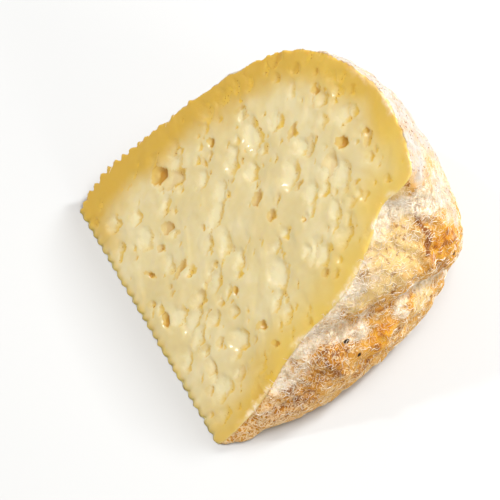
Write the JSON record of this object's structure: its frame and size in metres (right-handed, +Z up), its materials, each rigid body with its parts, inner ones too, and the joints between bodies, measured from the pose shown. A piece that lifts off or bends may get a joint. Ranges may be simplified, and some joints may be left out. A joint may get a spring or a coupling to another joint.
{
  "type": "cheese wedge",
  "caption": "Wedge of a small pressed cheese wheel with an open-eyed pale paste and a mottled natural rind, lying on its cut face.",
  "frame": {"origin": "middle of the bounding box's base, on the surface that the resting cut face lies on", "axes": "+X along the resting cut face from the thin edge towards the rim, +Y along the thin edge, which was the wheel's axis, +Z up"},
  "size_m": [0.1024, 0.0962, 0.0734],
  "materials": {
    "cheese": "waxy cut paste with a soft sheen, matt mottled rind"
  },
  "bodies": {
    "root": {"cheese_wedge": "cheese"}
  },
  "joints": []
}
